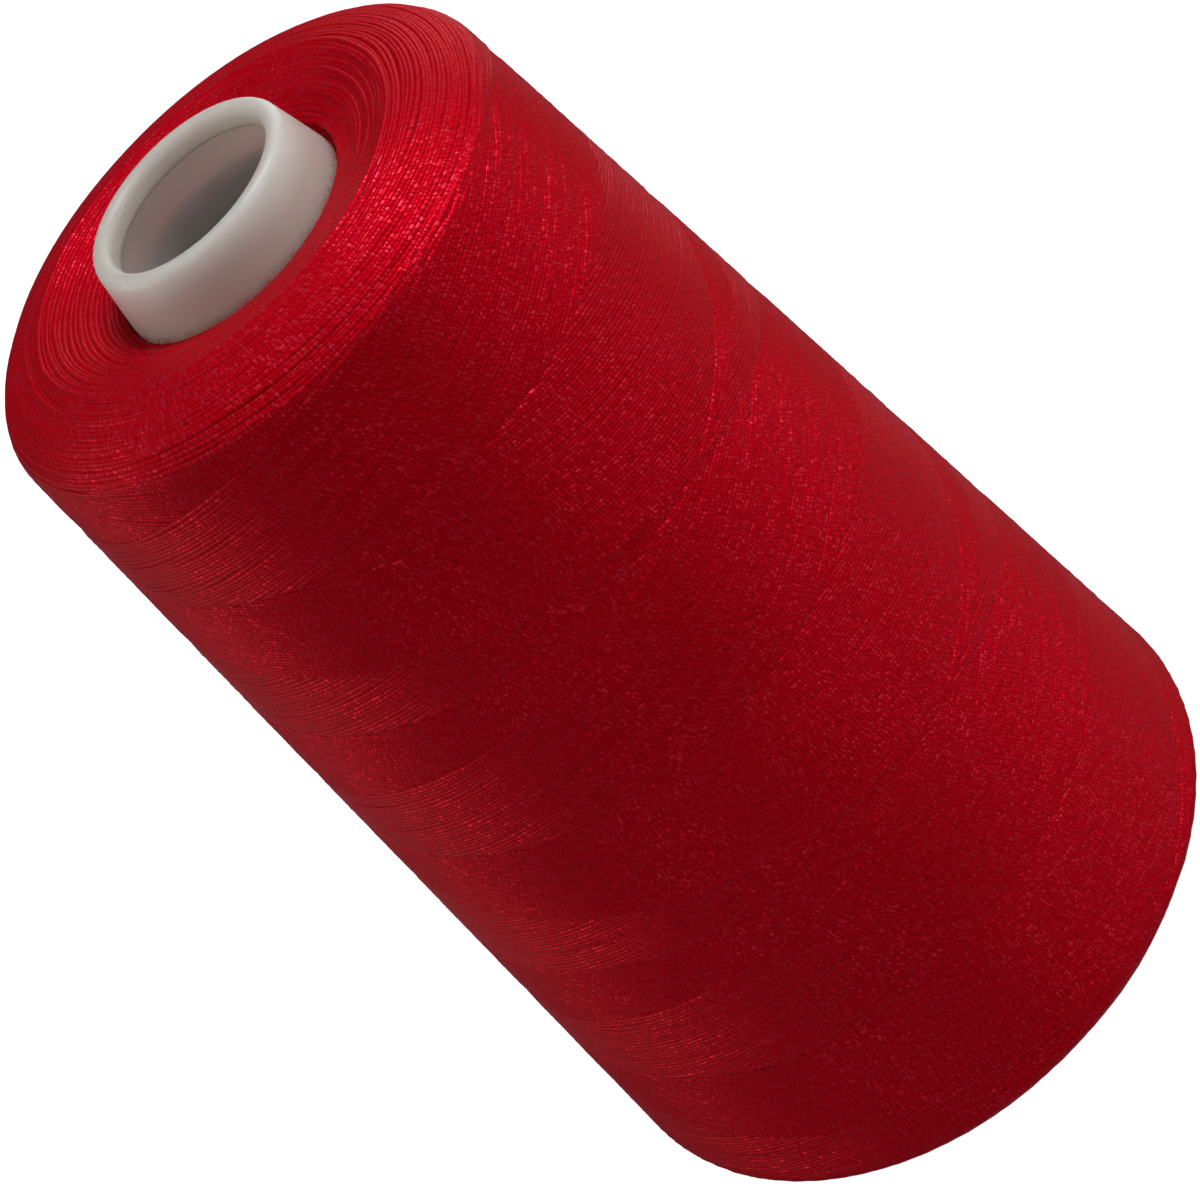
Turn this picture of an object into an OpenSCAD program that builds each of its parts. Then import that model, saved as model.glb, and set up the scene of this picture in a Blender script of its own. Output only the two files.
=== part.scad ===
// Cone of sewing thread: a moulded plastic core with one continuous thread wound on it.
// The cone stands on the core's foot rim at z = 0, nose up, with its axis on Z. Millimetres.

/* [Lip and collar of the core] */
// Radius of the bore inside the lip
lip_bore_r = 10.7; // [8:0.1:14]
// Thickness of the lip, which is rounded to a full bead
lip_t = 2.3; // [1.8:0.1:3]
// Height of the lip's top above the crest of the nose face
lip_proud = 4.1; // [3:0.1:12]
// Length of the straight land inside the lip, below the bead's centre
land_h = 1.5; // [1:0.1:4]
// Undercut of the bore below the land
land_step = 0.45; // [0.2:0.05:0.7]
// Flare of the bare collar, from the axis
collar_flare = 11; // [5:0.5:18]

/* [Body of the core] */
// Taper of the core and of the wound thread, half angle
taper = 4.65; // [3:0.05:6]
// Wall thickness of the core
core_wall = 1.9; // [1.4:0.1:2.4]
// Height of the foot rim
rim_h = 3.5; // [2.5:0.1:8]
// How far the foot rim stands out from the core's wall
rim_out = 1.2; // [0.8:0.1:3]
// Rounding of the foot rim's corners
rim_round = 0.6; // [0.3:0.1:1]
// Bare wall between the foot rim and the thread
foot_bare = 2.5; // [1.5:0.1:8]

/* [Wound thread] */
// Length of the wound thread along the axis
wind_h = 136.3; // [100:0.1:180]
// Thickness of the wound thread on the core, square to the axis
wind_t = 18.8; // [14:0.1:26]
// Depth of the nose face at the core, below its crest
nose_dish = 3.4; // [1:0.1:4.5]
// Half width of the ellipse that rounds the nose shoulder
shoulder_w = 12.5; // [8:0.1:13.5]
// Half height of the same ellipse
shoulder_h = 6.7; // [5:0.1:12]
// Angle round that ellipse at which the shoulder starts, at the crest of the nose face
crest_turn = 15; // [5:1:25]
// Width of the rounded edge round the base face
edge_w = 6; // [3:0.1:8]
// Height of the rounded edge round the base face
edge_h = 4; // [3.5:0.1:8]
// Depth of the base face at the core
base_dish = 2; // [1:0.1:4]

/* [Outer turns] */
// Diameter of the strand
strand_d = 0.5; // [0.4:0.05:0.8]
// Clear gap where one strand passes over another
strand_gap = 0.5; // [0.45:0.01:0.8]
// Whole loops in one pass between the two turning points
loops = 3; // [2:1:3]
// Passes along the cone, an odd number
passes = 7; // [3:2:7]
// Distance of the strand's two ends from the core, along the faces
tuck = 2.5; // [2:0.1:4]

/* [Hidden] */
$fn = 96;

face_steps = 8;       // segments across each end face
round_steps = 12;     // segments round each rounded edge
fit_gap = 0.05;       // between the core and the wound thread
seat_gap = 0.08;      // between a strand and what it lies on
ring_steps = 24;      // rings in each loop of the strand
ring_sides = 6;
turn_share = 0.125;   // part of a loop over which the strand turns back
pass_share = 0.125;   // part of a loop by which each pass falls behind the last
face_fall = 1.5;      // power by which the nose face falls to the core
eps = 0.01;

// Heights, from the foot up
base_z = rim_h + foot_bare;
crest_z = base_z + wind_h;
neck_z = crest_z - nose_dish;
core_h = crest_z + lip_proud;
lip_z = core_h - lip_t / 2;

// Radii of the core: bead, collar down to the neck, then the tapered wall
lip_r = lip_bore_r + lip_t / 2;
collar_top = [lip_r + lip_t / 2 * cos(collar_flare), lip_z + lip_t / 2 * sin(collar_flare)];
neck_r = collar_top[0] + tan(collar_flare) * (collar_top[1] - neck_z);
function core_r(z) = neck_r + tan(taper) * (neck_z - z);

// Outline of the wound thread, over the outermost turns: radius and height of each point,
// from the core at the nose, over the shoulder, down the side and back to the core at the base
function side_r(z) = core_r(z) + wind_t;
shoulder_end = atan(shoulder_w / shoulder_h / tan(taper));
shoulder_z = crest_z - shoulder_h * cos(crest_turn);
shoulder_end_z = shoulder_z + shoulder_h * cos(shoulder_end);
shoulder_r = side_r(shoulder_end_z) - shoulder_w * sin(shoulder_end);
crest_r = shoulder_r + shoulder_w * sin(crest_turn);
edge_start = -atan(tan(taper) * edge_h / edge_w);
edge_start_z = base_z + edge_h * (1 - sin(edge_start));
edge_r = side_r(edge_start_z) - edge_w * cos(edge_start);
base_core_r = core_r(base_z + base_dish);

nose_face = [for (i = [0 : face_steps - 1]) let (out = i / face_steps)
    [neck_r + (crest_r - neck_r) * out, crest_z - nose_dish * pow(1 - out, face_fall)]];
nose_shoulder = [for (i = [0 : round_steps])
    let (a = crest_turn + (shoulder_end - crest_turn) * i / round_steps)
    [shoulder_r + shoulder_w * sin(a), shoulder_z + shoulder_h * cos(a)]];
base_edge = [for (i = [0 : round_steps]) let (a = edge_start + (90 - edge_start) * i / round_steps)
    [edge_r + edge_w * cos(a), base_z + edge_h * (1 - sin(a))]];
base_face = [for (i = [1 : face_steps])
    [edge_r + (base_core_r - edge_r) * i / face_steps,
     base_z + base_dish * (1 - cos(90 * i / face_steps))]];
outline = concat(nose_face, nose_shoulder, base_edge, base_face);

// The same outline by the distance run along it
run = [for (i = 0, s = 0; i < len(outline);
            s = s + (i + 1 < len(outline) ? norm(outline[i + 1] - outline[i]) : 0), i = i + 1) s];
r_table = [for (i = [0 : len(run) - 1]) [run[i], outline[i][0]]];
z_table = [for (i = [0 : len(run) - 1]) [run[i], outline[i][1]]];
run_end = run[len(run) - 1];
function unit(v) = v / norm(v);
function at_run(s) = [lookup(s, r_table), lookup(s, z_table)];
function along_run(s) = unit(at_run(min(s + eps, run_end)) - at_run(max(s - eps, 0)));
function normal_at(s) = let (t = along_run(s)) [-t[1], t[0]];

// Thickness of the outermost turns: a strand, its seat and the sag of its widest chord
layer = strand_d + seat_gap + side_r(edge_start_z) * (1 - cos(180 / ring_steps));
wound_body = [for (s = run) at_run(s) - layer * normal_at(s)];

// The strand runs up and down the cone from the end of the shoulder to the base edge.
// Its place is counted in rings from the start of the first pass, and its distance
// along the outline follows. The first and last pass run on over the end faces.
high_turn = run[len(nose_face) + round_steps];
low_turn = run[len(nose_face) + len(nose_shoulder) + round_steps / 2];
pass_rings = (loops + pass_share) * ring_steps;
pitch = (low_turn - high_turn) / (loops + pass_share - turn_share);
turn_run = pitch * turn_share / 2;
ring_run = pitch / ring_steps;
end_pass = passes * pass_rings;
first_ring = ceil((tuck - high_turn + turn_run) / ring_run);
last_ring = end_pass + floor((run_end - tuck - low_turn - turn_run) / ring_run);
function turn_back(rings) = let (x = rings / ring_steps)
    pitch * (x < turn_share ? x * x / (2 * turn_share) : x - turn_share / 2);
function run_at(k) = let (pass = floor(k / pass_rings), in = k - pass * pass_rings,
                          down = pass % 2 == 0, left = pass_rings - in)
    k < pass_rings / 2 ? high_turn - turn_run + ring_run * k
    : k > end_pass - pass_rings / 2 ? low_turn + turn_run + ring_run * (k - end_pass)
    : down == (in < left) ? high_turn + turn_back(min(in, left))
    : low_turn - turn_back(min(in, left));

// A strand hops over each earlier pass that it crosses: those points mirror it about a
// turning point, a whole number of half loops away
half_loop = ring_steps / 2;
function crossed(k) = [for (m = [1 : 1 : floor(k / pass_rings)])
    if (k < end_pass && k > m * pass_rings && k <= 2 * m * pass_rings
        && (k - m * pass_rings) % half_loop == 0) m];
function hop(k) = len(crossed(k)) > 0 ? strand_d + strand_gap : 0;

function turn_of(k) = k * 360 / ring_steps;
function to_space(v, a) = [v[0] * cos(a), v[0] * sin(a), v[1]];
function normal_of(k) = to_space(normal_at(run_at(k)), turn_of(k));
function across_of(k) = to_space(along_run(run_at(k)), turn_of(k));
function bed_of(k) = let (s = run_at(k))
    to_space(at_run(s) - layer * normal_at(s), turn_of(k));
function sag_of(k) = max([for (half = [-0.5, 0.5])
    (bed_of(k + half) - (bed_of(k) + bed_of(k + 2 * half)) / 2) * normal_of(k + half)]);
function point_of(k) = bed_of(k) + (strand_d / 2 + seat_gap + sag_of(k) + hop(k)) * normal_of(k);

// Each end stands square on the wound thread for one diameter, then bends over
bend_r = 0.8 * strand_d;
function end_points(k, side) = let (n = normal_of(k), t = unit(point_of(k + side) - point_of(k)),
                                    foot = bed_of(k) + seat_gap * n)
    concat([foot],
           [for (a = [0 : 30 : 90])
               foot + (strand_d + bend_r * sin(a)) * n + bend_r * (1 - cos(a)) * t]);
function backwards(v) = [for (i = [len(v) - 1 : -1 : 0]) v[i]];

lying = [for (k = [first_ring + 1 : last_ring - 1]) point_of(k)];
path = concat(end_points(first_ring, 1), lying, backwards(end_points(last_ring, -1)));
end_count = len(end_points(first_ring, 1));
across = concat([for (i = [1 : end_count]) across_of(first_ring)],
                [for (k = [first_ring + 1 : last_ring - 1]) across_of(k)],
                [for (i = [1 : end_count]) across_of(last_ring)]);

function heading(i) = unit(i == 0 ? path[1] - path[0]
    : i == len(path) - 1 ? path[i] - path[i - 1]
    : unit(path[i + 1] - path[i]) + unit(path[i] - path[i - 1]));
strand_rings = [for (i = [0 : len(path) - 1])
    let (t = heading(i), u = unit(cross(t, across[i])), v = cross(t, u))
    for (a = [0 : 360 / ring_sides : 359])
        path[i] + strand_d / 2 * (cos(a) * u + sin(a) * v)];
strand_faces = concat(
    [for (j = [1 : ring_sides - 2]) [0, j, j + 1]],
    [for (i = [0 : len(path) - 2], j = [0 : ring_sides - 1], half = [0, 1])
        let (a = i * ring_sides + j, b = i * ring_sides + (j + 1) % ring_sides)
        half == 0 ? [a, a + ring_sides, b] : [b, a + ring_sides, b + ring_sides]],
    let (last = (len(path) - 1) * ring_sides)
    [for (j = [1 : ring_sides - 2]) [last, last + j + 1, last + j]]);

// Least gap of the strand to itself, on its points and the middles between them
marks = [for (i = [0 : len(lying) - 2], half = [0, 0.5])
    lying[i] * (1 - half) + lying[i + 1] * half];
loop_marks = 2 * ring_steps;
least_gap = min([for (i = [0 : len(marks) - 1],
                      j = [i + loop_marks : loop_marks : len(marks) - 1], off = [-2 : 2])
    if (j + off < len(marks)) norm(marks[i] - marks[j + off])]) - strand_d;
echo(least_gap_of_strand = least_gap, loops_of_strand = (last_ring - first_ring) / ring_steps);

module rounded_block(x0, x1, z0, z1, round) {
    translate([x0 + round, z0]) square([x1 - x0 - 2 * round, z1 - z0]);
    translate([x0, z0 + round]) square([x1 - x0, z1 - z0 - 2 * round]);
    for (x = [x0 + round, x1 - round], z = [z0 + round, z1 - round])
        translate([x, z]) circle(round);
}

module core_outline() {
    polygon([[0, 0], [core_r(0), 0], [neck_r, neck_z], collar_top, [lip_r, lip_z], [0, lip_z]]);
}

module core_bore() {
    land_z = lip_z - land_h;
    polygon([[0, -1], [core_r(-1) - core_wall, -1], [neck_r - core_wall, neck_z],
             [lip_bore_r + land_step, land_z], [lip_bore_r, land_z],
             [lip_bore_r, core_h + 1], [0, core_h + 1]]);
}

module core_cone() {
    color([0.84, 0.84, 0.80])
    rotate_extrude() {
        difference() {
            core_outline();
            core_bore();
        }
        translate([lip_r, lip_z]) circle(lip_t / 2);
        rounded_block(core_r(0) - core_wall, core_r(rim_h) + rim_out, 0, rim_h, rim_round);
    }
}

module thread_package() {
    color([0.66, 0.01, 0.08])
    rotate_extrude()
    difference() {
        polygon(concat([[0, wound_body[0][1]]], wound_body, [[0, wound_body[len(wound_body) - 1][1]]]));
        polygon([[-1, 0], [core_r(0) + fit_gap, 0], [neck_r + fit_gap, neck_z],
                 [neck_r + fit_gap, core_h], [-1, core_h]]);
    }
}

module outer_turns() {
    color([0.80, 0.05, 0.14])
    polyhedron(strand_rings, strand_faces, convexity = 10);
}

core_cone();
thread_package();
outer_turns();
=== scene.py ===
import math

import bmesh
import bpy
import numpy as np
from mathutils import Matrix, Vector


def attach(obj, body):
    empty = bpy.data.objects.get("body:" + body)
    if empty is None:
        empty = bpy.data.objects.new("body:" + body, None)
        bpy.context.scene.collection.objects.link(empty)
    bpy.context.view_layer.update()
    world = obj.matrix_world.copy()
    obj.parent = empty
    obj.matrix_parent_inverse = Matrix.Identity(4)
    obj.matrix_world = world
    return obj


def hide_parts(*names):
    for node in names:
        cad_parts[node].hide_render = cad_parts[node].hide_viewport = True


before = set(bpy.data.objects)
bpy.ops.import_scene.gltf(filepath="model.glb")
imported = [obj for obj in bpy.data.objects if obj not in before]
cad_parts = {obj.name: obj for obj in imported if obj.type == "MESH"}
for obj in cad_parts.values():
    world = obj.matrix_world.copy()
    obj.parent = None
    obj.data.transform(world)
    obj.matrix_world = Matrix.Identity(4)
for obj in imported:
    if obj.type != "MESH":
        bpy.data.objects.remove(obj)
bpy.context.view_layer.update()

mm = 0.001              # in metres
mergeWithin = 1e-7      # metres between two points that are one
print("frame loaded:", sorted(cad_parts))


# The camera: its place in metres, its directions, and its lens and sensor in millimetres
shot = {
    "place": (-0.0001, -0.3365, 0.3074),
    "right": (0.69442, -0.41222, -0.58981),
    "up": (0.71959, 0.39781, 0.56918),
    "lens": 105.6,
    "sensor": 36.0,
    "clip": (0.01, 20),
}


def addCamera(setup):
    data = bpy.data.cameras.new("camera")
    data.lens, data.sensor_width, data.sensor_fit = setup["lens"], setup["sensor"], "HORIZONTAL"
    data.clip_start, data.clip_end = setup["clip"]
    cam = bpy.data.objects.new("camera", data)
    bpy.context.scene.collection.objects.link(cam)
    right, up = np.array(setup["right"]), np.array(setup["up"])
    right = right / np.linalg.norm(right)
    up = up - right * (up @ right)
    up = up / np.linalg.norm(up)
    turn = np.eye(4)
    turn[:3, 0], turn[:3, 1], turn[:3, 2] = right, up, np.cross(right, up)
    turn[:3, 3] = setup["place"]
    cam.matrix_world = Matrix(turn.tolist())
    bpy.context.scene.camera = cam


addCamera(shot)


# Outline of the wound thread in millimetres, from the core at the nose to the core at the base
wound = {
    "foot": 6.0,                    # height of the thread's lowest point
    "length": 136.3, "noseRadius": 14.262, "thickness": 18.8, "taper": 4.65,
    "dish": 3.4, "dishPower": 1.5,
    "shoulderWide": 12.5, "shoulderHigh": 6.7, "crestTurn": 15.0,
    "edgeWide": 6.0, "edgeHigh": 4.0, "baseDish": 2.0,
    "steps": 24, "sideSteps": 60,
}


def coreRadius(form, height):
    # outside of the core's wall where thread covers it
    slope = math.tan(math.radians(form["taper"]))
    neck = form["foot"] + form["length"] - form["dish"]
    return form["noseRadius"] + slope * (neck - height)


def sideRadius(form, height):
    return coreRadius(form, height) + form["thickness"]


def outlinePoints(form):
    # radius and height of each point, and the places where the side starts and ends
    slope = math.tan(math.radians(form["taper"]))
    crest = form["foot"] + form["length"]
    wide, high = form["shoulderWide"], form["shoulderHigh"]
    first, last = math.radians(form["crestTurn"]), math.atan(wide / high / slope)
    shoulderZ = crest - high * math.cos(first)
    lastZ = shoulderZ + high * math.cos(last)
    shoulderRadius = sideRadius(form, lastZ) - wide * math.sin(last)
    crestRadius = shoulderRadius + wide * math.sin(first)
    out = np.linspace(0, 1, form["steps"], endpoint=False)
    face = np.stack([form["noseRadius"] + (crestRadius - form["noseRadius"]) * out,
                     crest - form["dish"] * (1 - out) ** form["dishPower"]], 1)
    turn = np.linspace(first, last, form["steps"])
    shoulder = np.stack([shoulderRadius + wide * np.sin(turn),
                         shoulderZ + high * np.cos(turn)], 1)
    edgeWide, edgeHigh = form["edgeWide"], form["edgeHigh"]
    edgeStart = -math.atan(slope * edgeHigh / edgeWide)
    edgeZ = form["foot"] + edgeHigh * (1 - math.sin(edgeStart))
    edgeRadius = sideRadius(form, edgeZ) - edgeWide * math.cos(edgeStart)
    side = np.linspace(lastZ, edgeZ, form["sideSteps"])[1:-1]
    side = np.stack([sideRadius(form, side), side], 1)
    turn = np.linspace(edgeStart, math.pi / 2, form["steps"])
    edge = np.stack([edgeRadius + edgeWide * np.cos(turn),
                     form["foot"] + edgeHigh * (1 - np.sin(turn))], 1)
    inward = np.linspace(0, 1, form["steps"] + 1)[1:]
    baseCore = coreRadius(form, form["foot"] + form["baseDish"])
    base = np.stack([edgeRadius + (baseCore - edgeRadius) * inward,
                     form["foot"] + form["baseDish"] * (1 - np.cos(math.pi / 2 * inward))], 1)
    marks = {"shoulderEnd": len(face) + len(shoulder) - 1,
             "edgeStart": len(face) + len(shoulder) + len(side)}
    return np.concatenate([face, shoulder, side, edge, base]), marks


# A run is a distance along the outline, in millimetres
outline, outlineMarks = outlinePoints(wound)
outlineRun = np.concatenate([[0], np.cumsum(np.linalg.norm(np.diff(outline, axis=0), axis=1))])
outlineHeading = np.gradient(outline, outlineRun, axis=0)
outlineHeading /= np.linalg.norm(outlineHeading, axis=1)[:, None]
shoulderRun = outlineRun[outlineMarks["shoulderEnd"]]      # where the shoulder ends and the side starts
edgeRun = outlineRun[outlineMarks["edgeStart"]]            # where the rounded edge of the base starts
lastRun = outlineRun[-1]


def onOutline(run, depth):
    radius, height, dr, dz = (np.interp(run, outlineRun, column) for column in
                              (*outline.T, *outlineHeading.T))
    return radius + depth * dz, height - depth * dr       # depth goes in, square to the surface


def inSpace(run, azimuth, depth):
    radius, height = onOutline(run, depth)
    return np.stack([radius * np.cos(azimuth), radius * np.sin(azimuth), height], 1)


def smoothStep(value):
    value = np.clip(value, 0, 1)
    return value * value * (3 - 2 * value)


def linkObject(name, mesh, material):
    piece = bpy.data.objects.new(name, mesh)
    bpy.context.scene.collection.objects.link(piece)
    mesh.materials.clear()
    mesh.materials.append(material)
    return piece


tube = {"bevelSteps": 1, "sides": 6, "faceCorners": 4, "mapInset": 0.01}


def strandMesh(name, strands, thickness):
    # strands: list of (points in millimetres, radius factors); returns one mesh of closed tubes
    curve = bpy.data.curves.new(name, "CURVE")
    curve.dimensions = "3D"
    curve.bevel_depth = thickness / 2 * mm
    curve.bevel_resolution = tube["bevelSteps"]
    curve.use_fill_caps = True
    curve.twist_mode = "Z_UP"
    lengths, counts = [], []
    for points, radii in strands:
        spline = curve.splines.new("POLY")
        spline.points.add(len(points) - 1)
        flat = np.ones((len(points), 4), np.float32)
        flat[:, :3] = points * mm
        spline.points.foreach_set("co", flat.ravel())
        spline.points.foreach_set("radius", np.asarray(radii, np.float32))
        spline.use_smooth = True
        lengths.append(np.linalg.norm(np.diff(points, axis=0), axis=1).sum())
        counts.append(len(points) - 1)
    holder = bpy.data.objects.new(name + "Path", curve)
    bpy.context.scene.collection.objects.link(holder)
    mesh = bpy.data.meshes.new_from_object(holder)
    bpy.data.objects.remove(holder)
    bpy.data.curves.remove(curve)

    # The map runs along each strand in millimetres; across, its whole number tells the strand
    corners = np.zeros(len(mesh.loops) * 2, np.float32)
    uvLayer = mesh.uv_layers[0]
    uvLayer.data.foreach_get("uv", corners)
    corners = corners.reshape(-1, 2)
    sideLoops = np.array(counts) * tube["sides"] * tube["faceCorners"]
    capLoops = len(corners) - sideLoops.sum()
    owner = np.repeat(np.arange(len(counts)), sideLoops)
    along = corners[capLoops:]
    along[:, 0] *= np.repeat(np.array(lengths), sideLoops)
    along[:, 1] = along[:, 1] * (1 - 2 * tube["mapInset"]) + tube["mapInset"] + owner
    uvLayer.data.foreach_set("uv", corners.ravel())

    work = bmesh.new()
    work.from_mesh(mesh)
    bmesh.ops.remove_doubles(work, verts=work.verts, dist=mergeWithin)
    work.to_mesh(mesh)
    work.free()
    mesh.name = name
    metres = round(sum(lengths) * mm, 1)
    print(name, len(strands), "strands,", metres, "m,", len(mesh.polygons), "faces")
    return mesh


def newMaterial(name):
    material = bpy.data.materials.new(name)
    material.use_nodes = True
    tree = material.node_tree
    tree.nodes.clear()
    shader = tree.nodes.new("ShaderNodeBsdfPrincipled")
    output = tree.nodes.new("ShaderNodeOutputMaterial")
    tree.links.new(shader.outputs["BSDF"], output.inputs["Surface"])
    return material, tree, shader


def setInputs(node, values):
    for key, value in values.items():
        node.inputs[key].default_value = value


def addNode(tree, kind, values=None, links=None, **settings):
    node = tree.nodes.new(kind)
    for key, value in settings.items():
        setattr(node, key, value)
    setInputs(node, values or {})
    for key, socket in (links or {}).items():
        tree.links.new(socket, node.inputs[key])
    return node


def mathNode(tree, operation, first, second=None, third=None, clamp=False):
    node = addNode(tree, "ShaderNodeMath", operation=operation, use_clamp=clamp)
    for slotIndex, value in enumerate((first, second, third)):
        if value is None:
            continue
        if isinstance(value, (int, float)):
            node.inputs[slotIndex].default_value = value
        else:
            tree.links.new(value, node.inputs[slotIndex])
    return node.outputs[0]


def blend(tree, factor, first, second):
    # first and second are colours or sockets
    mix = addNode(tree, "ShaderNodeMix", data_type="RGBA", links={"Factor": factor})
    for key, value in (("A", first), ("B", second)):
        if isinstance(value, tuple):
            mix.inputs[key].default_value = (*value, 1)
        else:
            tree.links.new(value, mix.inputs[key])
    return mix.outputs["Result"]


def noiseOn(tree, place, scale, detail):
    return addNode(tree, "ShaderNodeTexNoise", values={"Scale": scale, "Detail": detail},
                   links={"Vector": place}).outputs["Fac"]


def addBump(tree, shader, height, strength, depth):
    bump = addNode(tree, "ShaderNodeBump", values={"Strength": strength, "Distance": depth},
                   links={"Height": height})
    tree.links.new(bump.outputs["Normal"], shader.inputs["Normal"])


# Twist of the two plies. The spread of the strands' starts and the drift are counted in crests.
plyTwist = {
    "startSpread": 7.0,
    "drift": 5.0, "driftScale": 0.3, "driftDetail": 1.0, "driftApart": 7.31,
    "crestGain": 1.6, "crestRound": 0.3,   # how wide and how soft the top of a crest is
    "toneByStrand": 0.4, "toneAlong": 0.6,
    "toneScale": 0.05, "toneDetail": 2.0, "toneApart": 3.7,
}


def plyGroup(twist):
    # Twisted plies, on a map that runs along the strand in millimetres. Its Ply mask also places painted
    # shade in the grooves, and its Dash mask painted highlights
    group = bpy.data.node_groups.new("twistedPlies", "ShaderNodeTree")
    group.interface.new_socket("Crest Every", in_out="INPUT", socket_type="NodeSocketFloat")
    for name in ("Ply", "Tone", "Dash"):
        group.interface.new_socket(name, in_out="OUTPUT", socket_type="NodeSocketFloat")
    entry, leave = group.nodes.new("NodeGroupInput"), group.nodes.new("NodeGroupOutput")
    uv = addNode(group, "ShaderNodeUVMap", uv_map="UVMap")
    parts = addNode(group, "ShaderNodeSeparateXYZ", links={0: uv.outputs["UV"]})
    strand = mathNode(group, "FLOOR", parts.outputs["Y"])
    chance = addNode(group, "ShaderNodeTexWhiteNoise", links={"W": strand}, noise_dimensions="1D")

    def alongNoise(scale, apart, detail):
        place = addNode(group, "ShaderNodeCombineXYZ", links={
            "X": mathNode(group, "MULTIPLY", parts.outputs["X"], scale),
            "Y": mathNode(group, "MULTIPLY", strand, apart)})
        return addNode(group, "ShaderNodeTexNoise", values={"Scale": 1.0, "Detail": detail},
                       links={"Vector": place.outputs[0]}, noise_dimensions="2D").outputs["Fac"]

    # the lay drifts slowly along each strand, so that neighbours never stay in step
    crests = mathNode(group, "DIVIDE", parts.outputs["X"], entry.outputs["Crest Every"])
    drift = alongNoise(twist["driftScale"], twist["driftApart"], twist["driftDetail"])
    start = mathNode(group, "MULTIPLY", chance.outputs["Value"], twist["startSpread"])
    phase = mathNode(group, "ADD", mathNode(group, "SUBTRACT", parts.outputs["Y"], crests),
                     mathNode(group, "MULTIPLY_ADD", drift, twist["drift"], start))
    wave = mathNode(group, "COSINE", mathNode(group, "MULTIPLY", phase, math.pi))
    ply = mathNode(group, "ABSOLUTE", wave)
    group.links.new(ply, leave.inputs["Ply"])

    # every crest has its own chance to catch the light: a dash with a painted highlight and more gloss
    crestPlace = addNode(group, "ShaderNodeCombineXYZ",
                         links={"X": mathNode(group, "ROUND", phase), "Y": strand})
    crestChance = addNode(group, "ShaderNodeTexWhiteNoise",
                          links={"Vector": crestPlace.outputs[0]}, noise_dimensions="2D")
    dash = mathNode(group, "SMOOTH_MIN", mathNode(group, "MULTIPLY", ply, twist["crestGain"]),
                    1.0, twist["crestRound"])
    dash = mathNode(group, "MULTIPLY", mathNode(group, "MULTIPLY", dash, dash),
                    crestChance.outputs["Value"])
    group.links.new(dash, leave.inputs["Dash"])

    slow = alongNoise(twist["toneScale"], twist["toneApart"], twist["toneDetail"])
    tone = mathNode(group, "MULTIPLY_ADD", chance.outputs["Value"], twist["toneByStrand"],
                    mathNode(group, "MULTIPLY", slow, twist["toneAlong"]))
    group.links.new(tone, leave.inputs["Tone"])
    return group


twistedPlies = plyGroup(plyTwist)

threadFinish = {
    "ply": (0.60, 0.0, 0.008),                  # lit ply
    "grooveShade": (0.40, 0.0, 0.002),               # painted shade in the groove between two plies
    "dash": (0.72, 0.016, 0.034),               # painted highlight on a smooth crest that catches the light
    "silk": 0.28, "silkGlint": 0.34,            # share lit in its own colour: all over, and more on dashes
    "specular": 0.2, "specularTint": (1.0, 0.0, 0.35, 1),
    "toneSpread": 0.12, "patchSpread": 0.16, "patchScale": 60.0, "patchDetail": 3.0,
    "crestEvery": 0.53,                         # millimetres between two crests along the strand
    "roughness": (0.43, 0.25),                  # of the fibres, and of the dashes
    "glintPower": 2.8,
    "sheen": 0.36, "sheenTint": (1.0, 0.20, 0.34, 1), "sheenRoughness": 0.2,
    "bump": 1.0, "bumpDepth": 0.00002,
}

# On the end faces the strands lie looser, and more of their crests catch the light; their dashes get a
# brighter painted highlight and more gloss
endFinish = {
    **threadFinish,
    "dash": (0.79, 0.024, 0.05), "silkGlint": 0.5,
    "roughness": (0.46, 0.30), "glintPower": 3.0, "sheen": 0.08,
}


def threadMaterial(name, look):
    material, tree, shader = newMaterial(name)
    plies = addNode(tree, "ShaderNodeGroup", node_tree=twistedPlies)
    plies.inputs["Crest Every"].default_value = look["crestEvery"]
    place = addNode(tree, "ShaderNodeTexCoord").outputs["Object"]
    patch = noiseOn(tree, place, look["patchScale"], look["patchDetail"])
    middle = 1 - look["toneSpread"] / 2 - look["patchSpread"] / 2
    level = mathNode(tree, "ADD", mathNode(tree, "MULTIPLY", plies.outputs["Tone"], look["toneSpread"]),
                     mathNode(tree, "MULTIPLY_ADD", patch, look["patchSpread"], middle))
    # painted shade: the grooves between the plies are coloured darker than the lit plies
    cloth = blend(tree, plies.outputs["Ply"], look["grooveShade"], look["ply"])
    cloth = addNode(tree, "ShaderNodeHueSaturation",
                    links={"Color": cloth, "Value": level}).outputs["Color"]
    # painted highlight: the dashes are coloured lighter and pinker, and made glossier as well
    glint = mathNode(tree, "POWER", plies.outputs["Dash"], look["glintPower"])
    cloth = blend(tree, glint, cloth, look["dash"])
    tree.links.new(cloth, shader.inputs["Base Color"])
    silk = mathNode(tree, "MULTIPLY_ADD", glint, look["silkGlint"], look["silk"], clamp=True)
    tree.links.new(silk, shader.inputs["Metallic"])
    dull, smooth = look["roughness"]
    rough = mathNode(tree, "MULTIPLY_ADD", glint, smooth - dull, dull)
    tree.links.new(rough, shader.inputs["Roughness"])
    setInputs(shader, {
        "Specular IOR Level": look["specular"], "Specular Tint": look["specularTint"],
        "Sheen Weight": look["sheen"], "Sheen Tint": look["sheenTint"],
        "Sheen Roughness": look["sheenRoughness"]})
    addBump(tree, shader, plies.outputs["Ply"], look["bump"], look["bumpDepth"])
    return material


threadRed = threadMaterial("redThread", threadFinish)
endRed = threadMaterial("redThreadOnEnds", endFinish)

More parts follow.
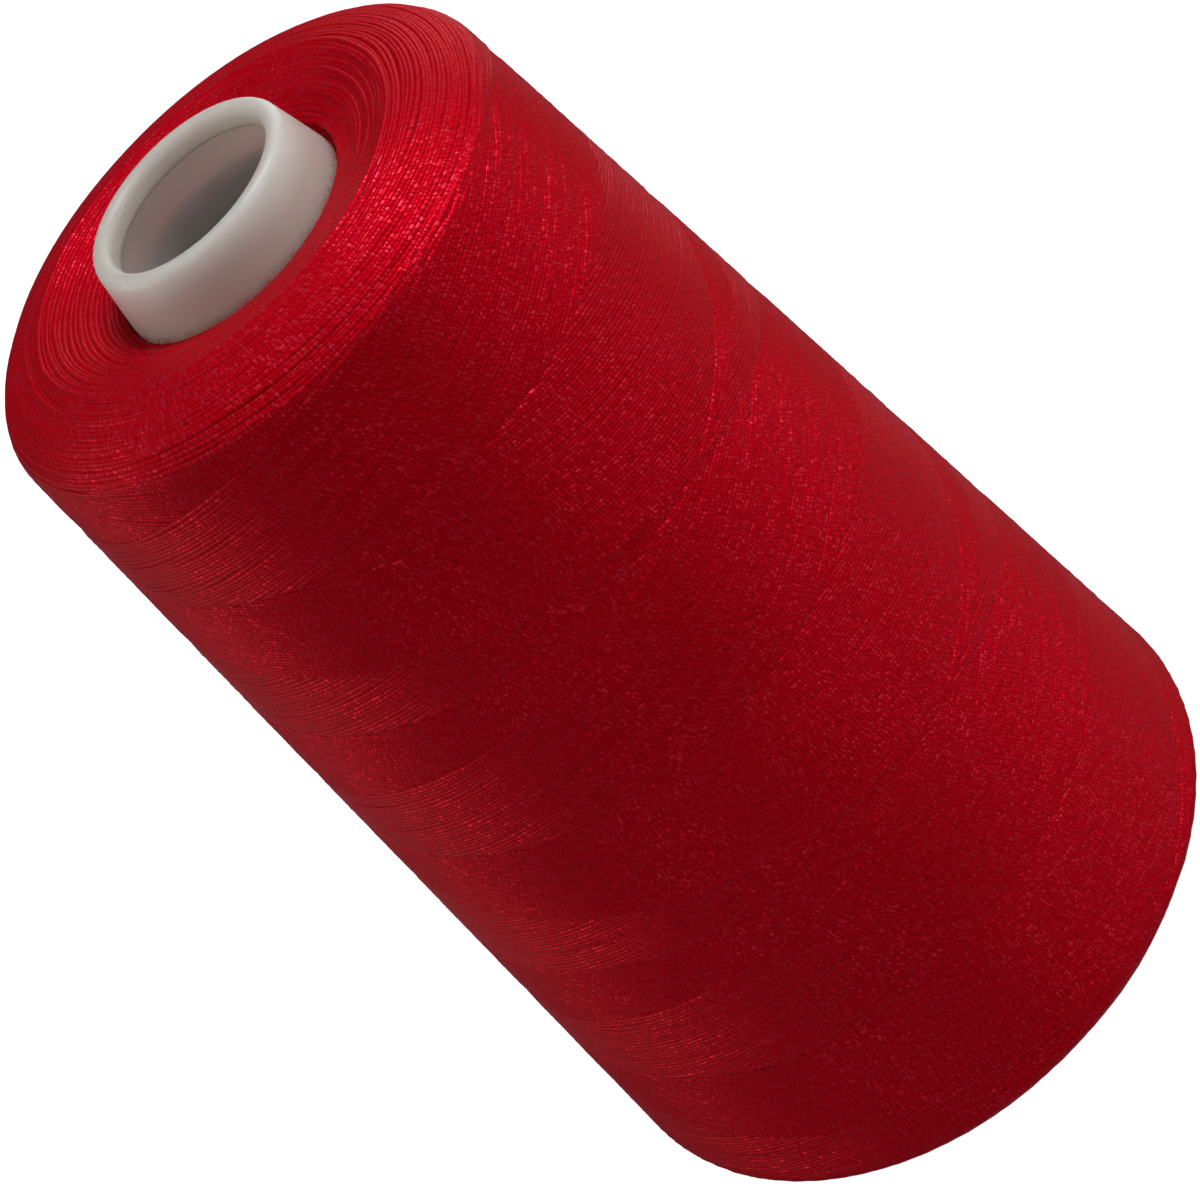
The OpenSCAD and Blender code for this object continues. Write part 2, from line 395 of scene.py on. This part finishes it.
# The thread below the strands is coloured darker than the strands, as painted shade of the deeper thread,
# and banded darker and lighter along its height
underFinish = {
    "dark": (0.24, 0.0, 0.003), "light": (0.34, 0.0, 0.005),
    "bandScale": 320.0, "bandDistortion": 1.5, "bandDetail": 2.0,
    "bump": 0.5, "bumpDepth": 0.0002, "roughness": 0.85, "specular": 0.05,
}


def underMaterial(name, look):
    material, tree, shader = newMaterial(name)
    place = addNode(tree, "ShaderNodeTexCoord").outputs["Object"]
    bands = addNode(tree, "ShaderNodeTexWave", wave_type="BANDS", bands_direction="Z",
                    values={"Scale": look["bandScale"], "Distortion": look["bandDistortion"],
                            "Detail": look["bandDetail"]},
                    links={"Vector": place}).outputs["Fac"]
    tree.links.new(blend(tree, bands, look["dark"], look["light"]), shader.inputs["Base Color"])
    addBump(tree, shader, bands, look["bump"], look["bumpDepth"])
    setInputs(shader, {"Roughness": look["roughness"], "Specular IOR Level": look["specular"]})
    return material


underRed = underMaterial("inwardThread", underFinish)

# Colours of the core, and the places, in metres, where one gives way to another
coreFinish = {
    "pale": (0.54, 0.52, 0.47), "deep": (0.49, 0.46, 0.41), "cloudScale": 45.0, "cloudDetail": 3.0,
    # Inside the bore the colour is painted light deep down and painted shade near the top
    "boreDeepPaintedLight": (0.86, 0.75, 0.71), "boreTopPaintedShade": (0.46, 0.43, 0.40), "boreFade": (0.128, 0.143),
    "wallRadius": (0.0238, 0.0248),             # from bore to outside, carried down the taper to z = 0
    "lipFoot": (0.1435, 0.1441),
    "rim": (0.65, 0.63, 0.58),                  # outer side of the lip, painted lighter where light comes through
    "rimFade": (0.1420, 0.1446),
    "roughness": (0.34, 0.46), "grainScale": 900.0, "grainDetail": 2.0,
    "bump": 0.12, "bumpDepth": 0.0001,
    "subsurface": 1.0, "scatterScale": 0.01, "scatterRadius": (1.0, 0.9, 0.85),
}


def coreMaterial(name, look):
    material, tree, shader = newMaterial(name)
    place = addNode(tree, "ShaderNodeTexCoord").outputs["Object"]
    cloud = noiseOn(tree, place, look["cloudScale"], look["cloudDetail"])
    grain = noiseOn(tree, place, look["grainScale"], look["grainDetail"])
    flat = addNode(tree, "ShaderNodeVectorMath", values={1: (1, 1, 0)}, links={0: place},
                   operation="MULTIPLY")
    fromAxis = addNode(tree, "ShaderNodeVectorMath", links={0: flat.outputs[0]}, operation="LENGTH")
    height = addNode(tree, "ShaderNodeSeparateXYZ", links={0: place}).outputs["Z"]
    slope = math.tan(math.radians(wound["taper"]))
    wall = mathNode(tree, "MULTIPLY_ADD", height, slope, fromAxis.outputs["Value"])

    def below(value, limits):
        return addNode(tree, "ShaderNodeMapRange", links={"Value": value},
                       values={"From Min": limits[0], "From Max": limits[1],
                               "To Min": 1.0, "To Max": 0.0}).outputs["Result"]

    def above(value, limits):
        return mathNode(tree, "SUBTRACT", 1.0, below(value, limits))

    inside = mathNode(tree, "MULTIPLY", below(wall, look["wallRadius"]), below(height, look["lipFoot"]))
    # painted light and shade in the bore, from its top to deep inside
    bore = blend(tree, below(height, look["boreFade"]), look["boreTopPaintedShade"], look["boreDeepPaintedLight"])
    # painted light on the outer side of the lip
    lip = mathNode(tree, "MULTIPLY", above(wall, look["wallRadius"]), above(height, look["rimFade"]))
    colour = blend(tree, lip, blend(tree, cloud, look["pale"], look["deep"]), look["rim"])
    colour = blend(tree, inside, colour, bore)
    tree.links.new(colour, shader.inputs["Base Color"])
    low, high = look["roughness"]
    rough = addNode(tree, "ShaderNodeMapRange", values={"To Min": low, "To Max": high},
                    links={"Value": grain})
    tree.links.new(rough.outputs["Result"], shader.inputs["Roughness"])
    addBump(tree, shader, grain, look["bump"], look["bumpDepth"])
    setInputs(shader, {
        "Subsurface Weight": look["subsurface"], "Subsurface Radius": look["scatterRadius"],
        "Subsurface Scale": look["scatterScale"]})
    return material


milkyPlastic = coreMaterial("milkyPlastic", coreFinish)
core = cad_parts["core_cone"]
core.data.materials.clear()
core.data.materials.append(milkyPlastic)
print("materials made")


# Body of wound thread below the modelled strands, in millimetres
threadBody = {"under": 0.6, "turns": 144, "coreGap": 0.06, "neckMargin": 0.3, "wallMargin": 0.05}


def makeThreadBody(body):
    radius, height = onOutline(outlineRun, body["under"])
    baseWall, neckWall = coreRadius(wound, height[[-1, 0]]) + body["coreGap"]
    ring = [(neckWall, height[0])]
    ring += [(r, z) for r, z in zip(radius, height) if r > neckWall + body["neckMargin"]]
    ring = [(r, z) for r, z in ring if r > coreRadius(wound, z) + body["wallMargin"]]
    ring.append((baseWall, height[-1]))
    work = bmesh.new()
    corners = [work.verts.new((r * mm, 0, z * mm)) for r, z in ring]
    edges = [work.edges.new((a, b)) for a, b in zip(corners, corners[1:] + corners[:1])]
    bmesh.ops.spin(work, geom=corners + edges, cent=(0, 0, 0), axis=(0, 0, 1), angle=2 * math.pi,
                   steps=body["turns"], use_merge=True)
    bmesh.ops.remove_doubles(work, verts=work.verts, dist=mergeWithin)
    bmesh.ops.recalc_face_normals(work, faces=work.faces)
    for face in work.faces:
        face.smooth = True
    mesh = bpy.data.meshes.new("threadBody")
    work.to_mesh(mesh)
    work.free()
    return mesh


body = linkObject("threadBody", makeThreadBody(threadBody), underRed)
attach(body, "root")
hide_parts("thread_package")
print("thread body made")


# Strands of the side, cross-wound. Lengths are in millimetres. A strand's age is its place behind
# the newest one, as a share of all that lie side by side. A level is one pass over the crossing
# strands of every age.
crossWinding = {
    "thickness": 0.8, "spacing": 0.48, "meanRadius": 38.5,
    "pitch": 43.8,                    # along the cone for one turn
    "frontTurn": -62.0,               # azimuth, in degrees, where the two newest strands cross
    "frontDepth": 39.0,               # and how far below the shoulder's end they do
    "step": 5.0,                      # degrees between rings
    "levels": (-2, 5), "shortest": 1.0, "leastInside": 0.5,
    "reversal": 27.0,                 # length round the cone in which a strand turns back
    "topApex": -1.2, "lowApex": 4.6, "apexJitter": 0.5,
    "runOn": 1.6, "apexDip": (0.2, 1.2),      # past its turning line, in parts of the reversal's reach
    "offsetJitter": 0.02, "spacingJitter": 0.05, "gapChance": 0.03, "gapWidth": 0.3,
    "waves": [(0.12, 60.0, 6.0), (0.06, 23.0, 11.0)],      # size, length, waves round all the ages
    "wander": 0.02, "wanderLength": 14.0,
    "heightJitter": 0.022, "heightWave": 0.015, "heightWaveEvery": 9.0,
    "frontStep": 0.12, "frontRise": 12.0,     # how far down a strand comes out, and how long it rises
    "crossRise": 8.0, "crossShare": 0.8,      # how it dips where it meets its own age
    "underLength": 8.0, "topDepth": 0.41, "hidden": 0.7,
    "seed": 11,
}


def spacedAges(count, setup, rng):
    steps = 1 + rng.normal(0, setup["spacingJitter"], count) \
        + (rng.random(count) < setup["gapChance"]) * setup["gapWidth"]
    places = np.cumsum(steps)
    return (places - places[0]) / (places[-1] + 1 - places[0])


def turnBack(depth, line, reach):
    # depths above the line come back down; within reach of it the path is a parabola
    away = np.abs(depth - line)
    return line + np.where(away < reach, (away * away / reach + reach) / 2, away)


def sideStrands(setup, down, rng):
    half, pitch, hidden = setup["pitch"] / 2, setup["pitch"], setup["hidden"]
    travel = 2 * math.pi * setup["meanRadius"] / pitch      # round the cone for each millimetre down it
    count = round(pitch * math.sin(math.atan(travel)) / setup["spacing"])
    cosTaper = math.cos(math.radians(wound["taper"]))
    reach = setup["reversal"] / travel / 2
    runOn = reach * setup["runOn"]
    tuck = setup["underLength"] / travel
    sideLength = (edgeRun - shoulderRun) * cosTaper
    dipStart, dipLength = setup["apexDip"]
    strands = []
    for age in spacedAges(count, setup, rng):
        for level in range(*setup["levels"]):
            # on top from where it leaves the newest crossing strand to where it meets its own age
            start = setup["frontDepth"] + half * (level + age * down)
            end = setup["frontDepth"] + half * (level + 1 - age * (not down))
            topLine = setup["topApex"] - reach / 2 + rng.normal(0, setup["apexJitter"])
            lowLine = sideLength + setup["lowApex"] + reach / 2 + rng.normal(0, setup["apexJitter"])
            first, last = max(start - tuck, topLine - runOn), min(end + tuck, lowLine + runOn)
            phases = rng.uniform(0, 2 * math.pi, 3)
            offset = rng.normal(0, setup["offsetJitter"])
            sunk = abs(rng.normal(0, setup["heightJitter"]))
            inside = min(end - topLine, lowLine - start)
            if inside < setup["leastInside"] or last - first < setup["shortest"]:
                continue
            depth = np.arange(first, last, pitch * setup["step"] / 360)
            distance = depth * travel
            turns = age + (depth - setup["frontDepth"]) / pitch * (-1 if down else 1)
            azimuth = math.radians(setup["frontTurn"]) + 2 * math.pi * turns
            lateral = offset + setup["wander"] * np.sin(
                distance / setup["wanderLength"] * 2 * math.pi + phases[0])
            for size, length, waves in setup["waves"]:
                lateral = lateral + size * np.sin(2 * math.pi * (distance / length + waves * age) + level)
            fromFront, fromLevel = (depth - start, end - depth) if down else (end - depth, depth - start)
            fromFront, fromLevel = fromFront * travel, fromLevel * travel
            under = setup["topDepth"] + sunk \
                + setup["heightWave"] * np.sin(distance / setup["heightWaveEvery"] + phases[1])
            under = under + setup["frontStep"] * (1 - smoothStep(fromFront / setup["frontRise"]))
            under = under + hidden * smoothStep(-fromFront / setup["underLength"])
            crossed = smoothStep(fromLevel / setup["crossRise"] + setup["crossShare"])
            under = under + hidden * (1 - crossed)
            for past in (topLine - depth, depth - lowLine):
                under = under + hidden * smoothStep((past / reach - dipStart) / dipLength)
            folded = -turnBack(-turnBack(depth, topLine, reach), -lowLine, reach)
            run = shoulderRun + (folded + lateral) / cosTaper
            strands.append((inSpace(run, azimuth, under), np.ones(len(run))))
    return strands


rng = np.random.default_rng(crossWinding["seed"])
for name, down in (("windingsDown", True), ("windingsUp", False)):
    strands = sideStrands(crossWinding, down, rng)
    windings = linkObject(name, strandMesh(name, strands, crossWinding["thickness"]), threadRed)
    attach(windings, "root")
    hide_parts("outer_turns")


# Strands of the two end faces, in millimetres and degrees
endWinding = {
    "thickness": 0.8, "step": 4.0, "samples": 400,
    "faceMargin": 0.3,                                             # at the core, on both faces
    "noseEnd": 0.5, "baseStart": 3.6,                              # before the side, and past its lower end
    "spacing": [(0, 0.64), (6, 0.58), (12, 0.50), (20, 0.45)],     # run from the inner end, between turns
    "waves": [(0.14, 3, 0.6), (0.07, 7, 1.7), (0.03, 16, 4.0)],    # size, waves round, phase by run
    "wander": 0.12, "noiseLength": 9,                              # rings between two chances
    "heightJitter": 0.22, "heightNoiseLength": 27,
    "topDepth": 0.41, "endDepth": 0.6, "endTurn": 40.0,
    "plainSpacing": 0.46,                                          # at which a turn has its plain thickness
    "firstShare": 0.55, "firstTurns": 1.5,                         # the turn beside the core is pulled thin
    "grooveWide": 0.11, "grooveReach": 1.3, "grooveSharp": 8,
    # loose places between two turns: run from the core, azimuth and half length
    "grooves": [(1.7, 5, 32), (3.1, 40, 24), (8.6, -52, 16), (13.6, -36, 22), (15.6, -139, 14),
                (11.4, -150, 12), (19.8, -33, 20), (20.4, -112, 22), (18.4, -128, 16),
                (12.2, -92, 12), (16.8, -70, 14), (6.4, 120, 30), (14.9, 160, 24),
                (17.5, 60, 26), (4.6, -110, 20), (10.3, 85, 22)],
    "seed": 5,
}


def smoothNoise(count, length, rng):
    chances = rng.uniform(-1, 1, count // length + 3)
    place = np.arange(count) / length
    low, part = place.astype(int), smoothStep(place % 1)
    return chances[low] * (1 - part) + chances[low + 1] * part


def faceSpiral(setup, firstRun, endRun, rng):
    # one strand in a spiral, so that each turn lies exactly beside the last
    fine = np.linspace(firstRun, endRun, setup["samples"])
    fromCore = np.minimum(fine - outlineRun[0], lastRun - fine)
    spacing = np.interp(fromCore, *zip(*setup["spacing"]))
    turns = np.diff(fine) * (1 / spacing[1:] + 1 / spacing[:-1]) / 2
    turns = 2 * math.pi * np.concatenate([[0], np.cumsum(turns)])
    turned = np.arange(0, turns[-1], math.radians(setup["step"]))
    place = np.interp(turned, turns, fine)
    offset = setup["wander"] * smoothNoise(len(turned), setup["noiseLength"], rng)
    for size, count, twist in setup["waves"]:
        offset = offset + size * np.sin(count * turned + twist * place)
    for run, azimuth, half in setup["grooves"]:
        away = np.degrees(np.angle(np.exp(1j * (turned - math.radians(azimuth))))) / half
        beside = (place - run) / setup["grooveReach"]
        opened = np.tanh(beside * setup["grooveSharp"]) * np.exp(-beside * beside - away * away)
        offset = offset + setup["grooveWide"] * opened
    toEnd = np.minimum(turned, turned[-1] - turned) / math.radians(setup["endTurn"])
    slow = smoothNoise(len(turned), setup["heightNoiseLength"], rng)
    depth = setup["topDepth"] + setup["endDepth"] * (1 - smoothStep(toEnd)) \
        + setup["heightJitter"] * (1 + slow) / 2
    place = np.clip(place + offset, setup["faceMargin"], lastRun - setup["faceMargin"])
    share = np.interp(turned, turns, spacing) / setup["plainSpacing"]
    first = smoothStep(turned / (2 * math.pi * setup["firstTurns"]))
    share = share * (setup["firstShare"] + (1 - setup["firstShare"]) * first)
    depth = depth + setup["thickness"] / 2 * (share - 1) * (share > 1)      # a thick turn stays as low
    return inSpace(place, turned, depth), share


rng = np.random.default_rng(endWinding["seed"])
for name, first, last in (
        ("noseWindings", endWinding["faceMargin"], shoulderRun - endWinding["noseEnd"]),
        ("baseWindings", edgeRun + endWinding["baseStart"], lastRun - endWinding["faceMargin"])):
    strands = [faceSpiral(endWinding, first, last, rng)]
    windings = linkObject(name, strandMesh(name, strands, endWinding["thickness"]), endRed)
    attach(windings, "root")
    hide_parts("thread_package")


# Loose fibres where the nose face meets the core, in millimetres
looseFibres = {
    "count": 620, "thickness": 0.035, "points": 5,
    "from": (0.05, 0.8), "reach": (0.1, 0.7), "root": 0.35,
    "lean": 0.25, "leanPower": 2, "curl": 0.5, "curlPower": 1.5,
    "tip": 0.4,                       # thickness at the tip, as a share of the root's
    "seed": 3,
}


def fibreHairs(setup, rng):
    along = np.linspace(0, 1, setup["points"])
    hairs = []
    for azimuth in rng.uniform(0, 2 * math.pi, setup["count"]):
        run = rng.uniform(*setup["from"]) + rng.normal(0, setup["lean"]) * along ** setup["leanPower"]
        depth = setup["root"] - (setup["root"] + rng.uniform(*setup["reach"])) * along
        swing = rng.normal(0, setup["curl"]) * along ** setup["curlPower"] / wound["noseRadius"]
        points = inSpace(np.maximum(run, setup["from"][0]), azimuth + swing, depth)
        hairs.append((points, 1 - (1 - setup["tip"]) * along))
    return hairs


hairs = fibreHairs(looseFibres, np.random.default_rng(looseFibres["seed"]))
fibres = linkObject("looseFibres", strandMesh("looseFibres", hairs, looseFibres["thickness"]), endRed)
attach(fibres, "root")
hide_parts("thread_package")


# Floor, lamps and world
studio = {
    "floorSize": 6.0, "floorColour": (0.4, 0.4, 0.4), "floorRoughness": 0.9, "floorGlow": 0.96,
    "worldStrength": 0.05,
    "aim": (0, 0, 0.07),
    "lamps": [
        # name, azimuth and height in degrees, distance, size, watts
        ("key", 0, 60, 1.0, 0.35, 5.0),
        ("rightFill", 345, 10, 1.0, 1.0, 2.4),
        ("frontRight", 306, 30, 1.0, 0.6, 1.25),
        ("frontLeft", 240, 30, 1.0, 0.6, 0.85),
        ("leftBack", 162, 25, 1.0, 0.8, 0.9),
        ("leftLow", 168, 5, 1.0, 0.8, 2.0),
        ("topBack", 135, 78, 1.0, 0.4, 1.1),
        ("backRight", 55, 12, 1.0, 0.6, 1.2),
    ],
}


def addLamp(name, azimuth, height, distance, size, power):
    data = bpy.data.lights.new(name, "AREA")
    data.shape, data.size, data.energy = "DISK", size, power
    lamp = bpy.data.objects.new(name, data)
    bpy.context.scene.collection.objects.link(lamp)
    turn, lift = math.radians(azimuth), math.radians(height)
    away = Vector((math.cos(turn) * math.cos(lift), math.sin(turn) * math.cos(lift), math.sin(lift)))
    lamp.rotation_mode = "QUATERNION"
    lamp.rotation_quaternion = (-away).to_track_quat("-Z", "Y")
    lamp.location = Vector(studio["aim"]) + away * distance


def seenDirectly(tree):
    # 1 for rays that come from the camera, also through something clear
    rays = addNode(tree, "ShaderNodeLightPath").outputs
    return mathNode(tree, "MAXIMUM", rays["Is Camera Ray"], rays["Is Transmission Ray"])


def addFloor(setup):
    mesh = bpy.data.meshes.new("floor")
    work = bmesh.new()
    bmesh.ops.create_grid(work, x_segments=1, y_segments=1, size=setup["floorSize"] / 2)
    work.to_mesh(mesh)
    work.free()
    material, tree, shader = newMaterial("paleFloor")
    setInputs(shader, {
        "Base Color": (*setup["floorColour"], 1), "Roughness": setup["floorRoughness"],
        "Specular IOR Level": 0.0, "Emission Color": (1, 1, 1, 1)})
    glow = mathNode(tree, "MULTIPLY", seenDirectly(tree), setup["floorGlow"])
    tree.links.new(glow, shader.inputs["Emission Strength"])
    return linkObject("floor", mesh, material)


def addWorld(setup):
    # white to the camera, and much weaker as a light
    world = bpy.data.worlds.new("studioWorld")
    bpy.context.scene.world = world
    world.use_nodes = True
    tree = world.node_tree
    tree.nodes.clear()
    background = addNode(tree, "ShaderNodeBackground", values={"Color": (1, 1, 1, 1)})
    strength = mathNode(tree, "MULTIPLY_ADD", seenDirectly(tree),
                        1 - setup["worldStrength"], setup["worldStrength"])
    tree.links.new(strength, background.inputs["Strength"])
    addNode(tree, "ShaderNodeOutputWorld", links={"Surface": background.outputs["Background"]})


for lamp in studio["lamps"]:
    addLamp(*lamp)
floor = addFloor(studio)
addWorld(studio)
bpy.context.scene.view_settings.view_transform = "Standard"
print("studio made")
